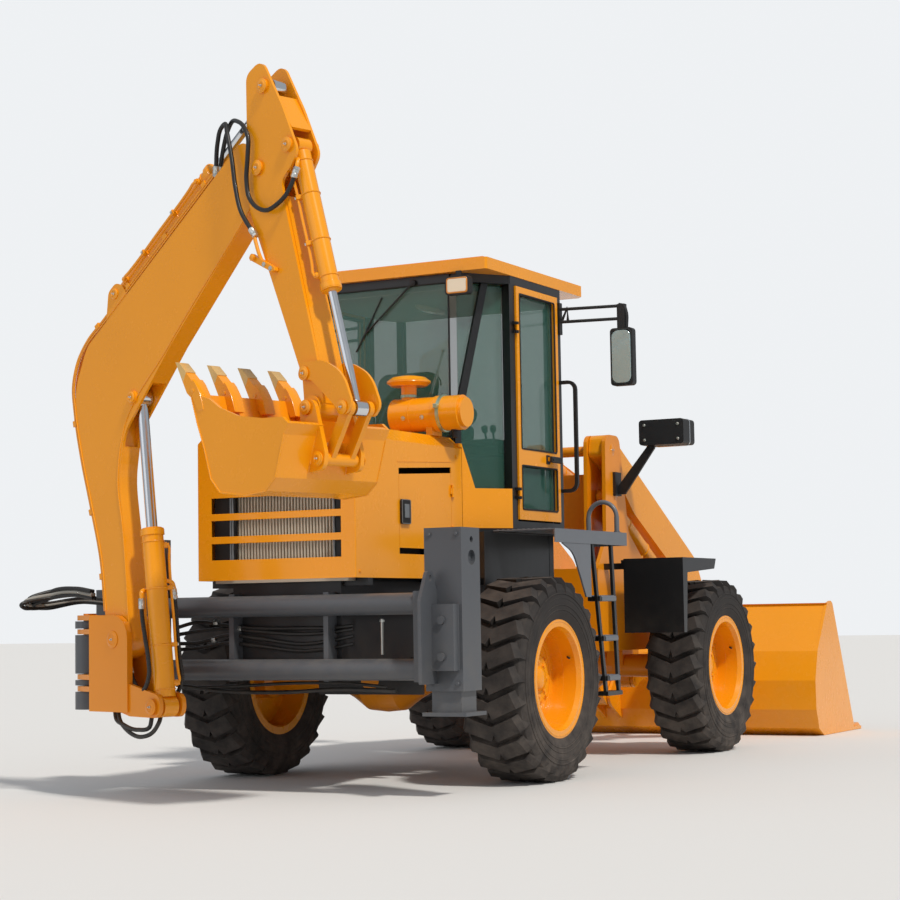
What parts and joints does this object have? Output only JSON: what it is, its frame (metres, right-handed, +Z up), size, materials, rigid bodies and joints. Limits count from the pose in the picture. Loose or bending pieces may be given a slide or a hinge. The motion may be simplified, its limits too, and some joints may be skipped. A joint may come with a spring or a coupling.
{
  "type": "backhoe loader",
  "caption": "Articulated wheeled loader with a cab, a front bucket on lift arms and a side-shift digging arm folded over its rear.",
  "frame": {"origin": "on the ground under the middle of the machine's length and width", "axes": "+X to the machine's right, +Y forward to the loader bucket, +Z up"},
  "size_m": [2.42, 8.1008, 3.7408],
  "materials": {
    "yellow_paint": "gloss",
    "frame_paint": "satin",
    "grey_paint": "satin",
    "black_paint": "satin",
    "rod_chrome": "polished",
    "tyre_rubber": "matt",
    "window": "clear",
    "fins": "satin",
    "engine_iron": "satin",
    "cushion": "woven",
    "plastic": "matt"
  },
  "bodies": {
    "rear_body": {"rear_frame": "grey_paint", "rear_axle": "frame_paint", "slide_frame": "grey_paint", "engine": "engine_iron", "radiator": "fins", "hood": "yellow_paint", "air_cleaner": "yellow_paint", "rear_fenders": "black_paint", "platforms": "grey_paint", "ladders": "black_paint", "side_tanks": "grey_paint", "cab_shell": "black_paint", "cab_roof": "yellow_paint", "cab_glass": "window", "seat_unit": "cushion", "controls": "plastic", "cab_fittings": "plastic"},
    "front_body": {"front_frame": "frame_paint", "front_axle": "frame_paint", "front_fenders": "black_paint", "headlamps": "plastic"},
    "wheel_rr": {"tyre_rr": "tyre_rubber", "rim_rr": "yellow_paint"},
    "wheel_rl": {"tyre_rl": "tyre_rubber", "rim_rl": "yellow_paint"},
    "wheel_fr": {"tyre_fr": "tyre_rubber", "rim_fr": "yellow_paint"},
    "wheel_fl": {"tyre_fl": "tyre_rubber", "rim_fl": "yellow_paint"},
    "cab_door_right": {"cab_door_r": "yellow_paint", "door_glass_r": "window"},
    "cab_door_left": {"cab_door_l": "yellow_paint", "door_glass_l": "window"},
    "hood_door_right": {"hood_door_r": "yellow_paint"},
    "hood_door_left": {"hood_door_l": "yellow_paint"},
    "arms": {"loader_arms": "yellow_paint"},
    "front_bucket": {"loader_bucket": "yellow_paint"},
    "lever": {"tilt_lever": "yellow_paint"},
    "link": {"tilt_link": "yellow_paint"},
    "lift_cyl": {"lift_barrels": "yellow_paint"},
    "lift_rod": {"lift_rods": "rod_chrome"},
    "tilt_cyl": {"tilt_barrel": "yellow_paint"},
    "tilt_piston": {"tilt_rod": "rod_chrome"},
    "shift_carriage": {"carriage": "grey_paint"},
    "post": {"swing_post": "frame_paint"},
    "hoe_boom": {"boom": "yellow_paint"},
    "hoe_dipper": {"dipper": "yellow_paint"},
    "digging_bucket": {"hoe_bucket": "yellow_paint"},
    "hoe_rocker": {"rocker": "yellow_paint"},
    "bucket_link": {"hoe_link": "yellow_paint"},
    "boom_cyl": {"boom_barrel": "yellow_paint"},
    "boom_piston": {"boom_rod": "rod_chrome"},
    "dipper_cyl": {"dipper_barrel": "yellow_paint"},
    "dipper_piston": {"dipper_rod": "rod_chrome"},
    "bucket_cyl": {"bucket_barrel": "yellow_paint"},
    "bucket_piston": {"bucket_rod": "rod_chrome"},
    "stab_right": {"stab_leg_r": "grey_paint"},
    "stab_left": {"stab_leg_l": "grey_paint"}
  },
  "joints": [
    {"name": "steer", "type": "hinge", "parent": "rear_body", "child": "front_body", "pos_m": [0, -0.16961, 0], "axis": [0, 0, 1], "range_deg": [-35, 35]},
    {"name": "spin_rr", "type": "hinge", "parent": "rear_body", "child": "wheel_rr", "pos_m": [0.943, -1.50961, 0.585], "axis": [1, 0, 0], "continuous": true},
    {"name": "spin_rl", "type": "hinge", "parent": "rear_body", "child": "wheel_rl", "pos_m": [-0.943, -1.50961, 0.585], "axis": [1, 0, 0], "continuous": true},
    {"name": "spin_fr", "type": "hinge", "parent": "front_body", "child": "wheel_fr", "pos_m": [0.943, 1.1764, 0.585], "axis": [1, 0, 0], "continuous": true},
    {"name": "spin_fl", "type": "hinge", "parent": "front_body", "child": "wheel_fl", "pos_m": [-0.943, 1.1764, 0.585], "axis": [1, 0, 0], "continuous": true},
    {"name": "cab_door_right_hinge", "type": "hinge", "parent": "rear_body", "child": "cab_door_right", "pos_m": [0.719, -1.15061, 0], "axis": [0, 0, -1], "range_deg": [0, 100]},
    {"name": "cab_door_left_hinge", "type": "hinge", "parent": "rear_body", "child": "cab_door_left", "pos_m": [-0.719, -1.15061, 0], "axis": [0, 0, 1], "range_deg": [0, 100]},
    {"name": "hood_door_right_hinge", "type": "hinge", "parent": "rear_body", "child": "hood_door_right", "pos_m": [0.515, -1.63061, 0], "axis": [0, 0, 1], "range_deg": [0, 90]},
    {"name": "hood_door_left_hinge", "type": "hinge", "parent": "rear_body", "child": "hood_door_left", "pos_m": [-0.515, -1.63061, 0], "axis": [0, 0, -1], "range_deg": [0, 90]},
    {"name": "lift", "type": "hinge", "parent": "front_body", "child": "arms", "pos_m": [0, 0.57039, 2.05], "axis": [1, 0, 0], "range_deg": [0, 75]},
    {"name": "lift_cyl_swing", "type": "hinge", "parent": "front_body", "child": "lift_cyl", "pos_m": [0, 0.6104, 1.74], "axis": [1, 0, 0], "range_deg": [-2, 78]},
    {"name": "lift_rod_slide", "type": "slide", "parent": "lift_cyl", "child": "lift_rod", "axis": [0, 0.879, -0.4768], "range_m": [-0.01, 0.39]},
    {"name": "tilt", "type": "hinge", "parent": "arms", "child": "front_bucket", "pos_m": [0, 2.7104, 0.3], "axis": [1, 0, 0], "range_deg": [-95, 40]},
    {"name": "lever_swing", "type": "hinge", "parent": "arms", "child": "lever", "pos_m": [0, 2.17539, 1.11], "axis": [1, 0, 0], "range_deg": [-13, 29]},
    {"name": "link_swing", "type": "hinge", "parent": "lever", "child": "link", "pos_m": [0, 2.0574, 0.454], "axis": [1, 0, 0], "range_deg": [-46, 20]},
    {"name": "tilt_cyl_swing", "type": "hinge", "parent": "arms", "child": "tilt_cyl", "pos_m": [0, 0.57039, 2.05], "axis": [1, 0, 0], "range_deg": [-2, 2]},
    {"name": "tilt_rod_slide", "type": "slide", "parent": "tilt_cyl", "child": "tilt_piston", "axis": [0, 0.9617, -0.274], "range_m": [-0.24, 0.1]},
    {"name": "side_shift", "type": "slide", "parent": "rear_body", "child": "shift_carriage", "axis": [1, 0, 0], "range_m": [0, 1.56]},
    {"name": "swing", "type": "hinge", "parent": "shift_carriage", "child": "post", "pos_m": [-0.96, -3.12961, 0], "axis": [0, 0, 1], "range_deg": [-158, 12]},
    {"name": "boom_lower", "type": "hinge", "parent": "post", "child": "hoe_boom", "pos_m": [-0.63008, -3.23047, 0.855], "axis": [0.2924, 0.9563, 0], "range_deg": [0, 75]},
    {"name": "dipper_crowd", "type": "hinge", "parent": "hoe_boom", "child": "hoe_dipper", "pos_m": [0.5414, -3.58863, 3.21], "axis": [0.2924, 0.9563, 0], "range_deg": [-80, 8]},
    {"name": "bucket_curl", "type": "hinge", "parent": "hoe_dipper", "child": "digging_bucket", "pos_m": [0.9287, -3.70704, 1.965], "axis": [0.2924, 0.9563, 0], "range_deg": [-140, 15]},
    {"name": "boom_cyl_swing", "type": "hinge", "parent": "post", "child": "boom_cyl", "pos_m": [-0.30971, -3.32842, 0.503], "axis": [0.2924, 0.9563, 0], "range_deg": [-1, 65]},
    {"name": "boom_rod_slide", "type": "slide", "parent": "boom_cyl", "child": "boom_piston", "axis": [-0.1133, 0.0346, 0.993], "range_m": [-0.56, 0.01]},
    {"name": "dipper_cyl_swing", "type": "hinge", "parent": "hoe_boom", "child": "dipper_cyl", "pos_m": [-0.65398, -3.22316, 2.725], "axis": [0.2924, 0.9563, 0], "range_deg": [-5, 2]},
    {"name": "dipper_rod_slide", "type": "slide", "parent": "dipper_cyl", "child": "dipper_piston", "axis": [0.7867, -0.2405, 0.5685], "range_m": [-0.54, 0.06]},
    {"name": "rocker_swing", "type": "hinge", "parent": "hoe_dipper", "child": "hoe_rocker", "pos_m": [0.88184, -3.69271, 2.137], "axis": [0.2924, 0.9563, 0], "range_deg": [-115, 13]},
    {"name": "bucket_link_swing", "type": "hinge", "parent": "hoe_rocker", "child": "bucket_link", "pos_m": [1.14387, -3.77282, 1.95], "axis": [0.2924, 0.9563, 0], "range_deg": [-8, 61]},
    {"name": "bucket_cyl_swing", "type": "hinge", "parent": "hoe_dipper", "child": "bucket_cyl", "pos_m": [0.76135, -3.65587, 3.29], "axis": [0.2924, 0.9563, 0], "range_deg": [-5, 2]},
    {"name": "bucket_rod_slide", "type": "slide", "parent": "bucket_cyl", "child": "bucket_piston", "axis": [0.2735, -0.0836, -0.9582], "range_m": [-0.58, 0.07]},
    {"name": "stab_right_slide", "type": "slide", "parent": "rear_body", "child": "stab_right", "axis": [0, 0, -1], "range_m": [0, 0.6]},
    {"name": "stab_left_slide", "type": "slide", "parent": "rear_body", "child": "stab_left", "axis": [0, 0, -1], "range_m": [0, 0.6]}
  ],
  "couplings": [
    {"joint": "lift_cyl_swing", "follows": "lift", "ratio": 1.0153},
    {"joint": "lift_rod_slide", "follows": "lift", "m_per_rad": 0.2909},
    {"joint": "lever_swing", "follows": "tilt", "ratio": -0.2939},
    {"joint": "link_swing", "follows": "tilt", "ratio": 0.4687},
    {"joint": "tilt_cyl_swing", "follows": "tilt", "ratio": 0.014},
    {"joint": "tilt_rod_slide", "follows": "tilt", "m_per_rad": 0.1355},
    {"joint": "boom_cyl_swing", "follows": "boom_lower", "ratio": 0.8531},
    {"joint": "boom_rod_slide", "follows": "boom_lower", "m_per_rad": -0.4169},
    {"joint": "dipper_cyl_swing", "follows": "dipper_crowd", "ratio": 0.0469},
    {"joint": "dipper_rod_slide", "follows": "dipper_crowd", "m_per_rad": 0.3758},
    {"joint": "rocker_swing", "follows": "bucket_curl", "ratio": 0.815},
    {"joint": "bucket_link_swing", "follows": "bucket_curl", "ratio": -0.41},
    {"joint": "bucket_cyl_swing", "follows": "bucket_curl", "ratio": 0.0192},
    {"joint": "bucket_rod_slide", "follows": "bucket_curl", "m_per_rad": 0.2316}
  ]
}
